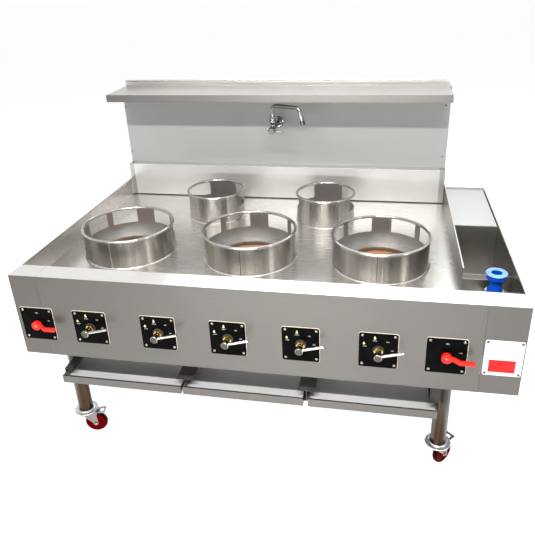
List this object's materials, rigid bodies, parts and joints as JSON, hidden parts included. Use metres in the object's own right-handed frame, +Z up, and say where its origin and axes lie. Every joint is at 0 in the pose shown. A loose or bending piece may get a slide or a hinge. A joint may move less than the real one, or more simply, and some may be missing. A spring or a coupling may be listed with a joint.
{
  "type": "wok range",
  "caption": "Freestanding stainless wok range on casters, with wok rings, a water trough, drip trays, a splashback with a shelf and a swivel tap.",
  "frame": {"origin": "on the floor, under the centre of the bounding box", "axes": "+X to the right seen from the front, +Y to the back, +Z up; the controls face -Y"},
  "size_m": [1.8, 1.27, 1.356],
  "materials": {
    "steel_sheet": "satin brushed stainless sheet",
    "steel_ring": "rolled stainless with a satin polish",
    "frame_steel": "plain folded steel channel",
    "zinc_plate": "bright zinc plate",
    "pipe_steel": "drawn steel pipe",
    "fire_brick": "rough fired refractory brick",
    "burner_iron": "dark cast iron",
    "black_plate": "gloss black",
    "brass": "machined brass",
    "chrome": "polished chrome",
    "red_plastic": "glossy red",
    "blue_plastic": "worn blue plastic",
    "red_rubber": "dark red polyurethane"
  },
  "bodies": {
    "range_body": {"base_frame": "frame_steel", "burner_bricks": "fire_brick", "burner_heads": "burner_iron", "burner_wells": "steel_sheet", "caster_rings": "zinc_plate", "cock_collars": "black_plate", "control_plates": "black_plate", "drain_fitting": "steel_sheet", "drain_trough": "steel_sheet", "fascia_end_left": "steel_sheet", "fascia_end_right": "steel_sheet", "front_fascia": "steel_sheet", "gas_cocks": "brass", "gas_feed_pipes": "pipe_steel", "gas_manifold": "pipe_steel", "hob_deck": "steel_sheet", "legs": "steel_sheet", "rear_panel": "steel_sheet", "side_panel_left": "steel_sheet", "side_panel_right": "steel_sheet", "splash_box": "steel_sheet", "splash_panel": "steel_sheet", "splash_posts": "steel_sheet", "splash_shelf": "steel_sheet", "tap_body": "chrome", "tray_runners": "steel_sheet", "trough_weir": "steel_sheet", "water_pipes": "pipe_steel", "water_supply": "pipe_steel", "water_valves": "brass"},
    "gas_lever_1": {"gas_lever_1": "chrome"},
    "gas_lever_2": {"gas_lever_2": "chrome"},
    "gas_lever_3": {"gas_lever_3": "chrome"},
    "gas_lever_4": {"gas_lever_4": "chrome"},
    "gas_lever_5": {"gas_lever_5": "chrome"},
    "water_lever_left": {"water_lever_left": "red_plastic"},
    "water_lever_right": {"water_lever_right": "red_plastic"},
    "tap_spout": {"tap_spout": "chrome"},
    "tap_handle": {"tap_handle": "chrome"},
    "drip_tray_left": {"drip_tray_left": "steel_sheet"},
    "drip_tray_middle": {"drip_tray_middle": "steel_sheet"},
    "drip_tray_right": {"drip_tray_right": "steel_sheet"},
    "wok_ring_1": {"wok_ring_1": "steel_ring"},
    "wok_ring_2": {"wok_ring_2": "steel_ring"},
    "wok_ring_3": {"wok_ring_3": "steel_ring"},
    "wok_ring_4": {"wok_ring_4": "steel_ring"},
    "wok_ring_5": {"wok_ring_5": "steel_ring"},
    "trough_cover": {"trough_cover": "steel_sheet"},
    "overflow_pipe": {"overflow_pipe": "blue_plastic"},
    "caster_front_left": {"caster_yoke_front_left": "zinc_plate"},
    "wheel_front_left": {"caster_wheel_front_left": "red_rubber"},
    "pedal_front_left": {"brake_pedal_front_left": "zinc_plate"},
    "caster_front_right": {"caster_yoke_front_right": "zinc_plate"},
    "wheel_front_right": {"caster_wheel_front_right": "red_rubber"},
    "pedal_front_right": {"brake_pedal_front_right": "zinc_plate"},
    "caster_rear_left": {"caster_yoke_rear_left": "zinc_plate"},
    "wheel_rear_left": {"caster_wheel_rear_left": "red_rubber"},
    "caster_rear_right": {"caster_yoke_rear_right": "zinc_plate"},
    "wheel_rear_right": {"caster_wheel_rear_right": "red_rubber"}
  },
  "joints": [
    {"name": "gas_lever_1_turn", "type": "hinge", "parent": "range_body", "child": "gas_lever_1", "pos_m": [-0.607, -0.615, 0.66], "axis": [0, -1, 0], "range_deg": [0, 135]},
    {"name": "gas_lever_2_turn", "type": "hinge", "parent": "range_body", "child": "gas_lever_2", "pos_m": [-0.343, -0.615, 0.66], "axis": [0, -1, 0], "range_deg": [0, 135]},
    {"name": "gas_lever_3_turn", "type": "hinge", "parent": "range_body", "child": "gas_lever_3", "pos_m": [-0.084, -0.615, 0.66], "axis": [0, -1, 0], "range_deg": [0, 135]},
    {"name": "gas_lever_4_turn", "type": "hinge", "parent": "range_body", "child": "gas_lever_4", "pos_m": [0.175, -0.615, 0.66], "axis": [0, -1, 0], "range_deg": [0, 135]},
    {"name": "gas_lever_5_turn", "type": "hinge", "parent": "range_body", "child": "gas_lever_5", "pos_m": [0.438, -0.615, 0.66], "axis": [0, -1, 0], "range_deg": [0, 135]},
    {"name": "water_lever_left_turn", "type": "hinge", "parent": "range_body", "child": "water_lever_left", "pos_m": [-0.8185, -0.605, 0.66], "axis": [0, -1, 0], "range_deg": [0, 90]},
    {"name": "water_lever_right_turn", "type": "hinge", "parent": "range_body", "child": "water_lever_right", "pos_m": [0.6585, -0.605, 0.66], "axis": [0, -1, 0], "range_deg": [0, 90]},
    {"name": "tap_spout_swivel", "type": "hinge", "parent": "range_body", "child": "tap_spout", "pos_m": [-0.098, 0.423, 1.205], "axis": [0, 0, 1], "range_deg": [-136, 30]},
    {"name": "tap_handle_turn", "type": "hinge", "parent": "range_body", "child": "tap_handle", "pos_m": [-0.098, 0.39, 1.155], "axis": [0, -1, 0], "range_deg": [0, 90]},
    {"name": "drip_tray_left_slide", "type": "slide", "parent": "range_body", "child": "drip_tray_left", "axis": [0, -1, 0], "range_m": [0, 0.45]},
    {"name": "drip_tray_middle_slide", "type": "slide", "parent": "range_body", "child": "drip_tray_middle", "axis": [0, -1, 0], "range_m": [0, 0.45]},
    {"name": "drip_tray_right_slide", "type": "slide", "parent": "range_body", "child": "drip_tray_right", "axis": [0, -1, 0], "range_m": [0, 0.45]},
    {"name": "wok_ring_1_lift", "type": "slide", "parent": "range_body", "child": "wok_ring_1", "axis": [0, 0, 1], "range_m": [0, 0.15]},
    {"name": "wok_ring_2_lift", "type": "slide", "parent": "range_body", "child": "wok_ring_2", "axis": [0, 0, 1], "range_m": [0, 0.15]},
    {"name": "wok_ring_3_lift", "type": "slide", "parent": "range_body", "child": "wok_ring_3", "axis": [0, 0, 1], "range_m": [0, 0.15]},
    {"name": "wok_ring_4_lift", "type": "slide", "parent": "range_body", "child": "wok_ring_4", "axis": [0, 0, 1], "range_m": [0, 0.15]},
    {"name": "wok_ring_5_lift", "type": "slide", "parent": "range_body", "child": "wok_ring_5", "axis": [0, 0, 1], "range_m": [0, 0.15]},
    {"name": "trough_cover_lift", "type": "slide", "parent": "range_body", "child": "trough_cover", "axis": [0, 0, 1], "range_m": [0, 0.1]},
    {"name": "overflow_pipe_lift", "type": "slide", "parent": "range_body", "child": "overflow_pipe", "axis": [0, 0, 1], "range_m": [0, 0.15]},
    {"name": "caster_front_left_swivel", "type": "hinge", "parent": "range_body", "child": "caster_front_left", "pos_m": [-0.808, -0.426, 0.11], "axis": [0, 0, 1], "continuous": true},
    {"name": "wheel_front_left_roll", "type": "hinge", "parent": "caster_front_left", "child": "wheel_front_left", "pos_m": [-0.77474, -0.41893, 0.0475], "axis": [0.2079, -0.9781, 0], "continuous": true},
    {"name": "pedal_front_left_press", "type": "hinge", "parent": "caster_front_left", "child": "pedal_front_left", "pos_m": [-0.76692, -0.41727, 0.1045], "axis": [0.2079, -0.9781, 0], "range_deg": [0, 15]},
    {"name": "caster_front_right_swivel", "type": "hinge", "parent": "range_body", "child": "caster_front_right", "pos_m": [0.684, -0.402, 0.11], "axis": [0, 0, 1], "continuous": true},
    {"name": "wheel_front_right_roll", "type": "hinge", "parent": "caster_front_right", "child": "wheel_front_right", "pos_m": [0.70675, -0.37673, 0.0475], "axis": [0.7431, -0.6691, 0], "continuous": true},
    {"name": "pedal_front_right_press", "type": "hinge", "parent": "caster_front_right", "child": "pedal_front_right", "pos_m": [0.7121, -0.37079, 0.1045], "axis": [0.7431, -0.6691, 0], "range_deg": [0, 15]},
    {"name": "caster_rear_left_swivel", "type": "hinge", "parent": "range_body", "child": "caster_rear_left", "pos_m": [-0.808, 0.45, 0.11], "axis": [0, 0, 1], "continuous": true},
    {"name": "wheel_rear_left_roll", "type": "hinge", "parent": "caster_rear_left", "child": "wheel_rear_left", "pos_m": [-0.842, 0.45, 0.0475], "axis": [0, 1, 0], "continuous": true},
    {"name": "caster_rear_right_swivel", "type": "hinge", "parent": "range_body", "child": "caster_rear_right", "pos_m": [0.684, 0.45, 0.11], "axis": [0, 0, 1], "continuous": true},
    {"name": "wheel_rear_right_roll", "type": "hinge", "parent": "caster_rear_right", "child": "wheel_rear_right", "pos_m": [0.65398, 0.46596, 0.0475], "axis": [0.4695, 0.8829, 0], "continuous": true}
  ]
}
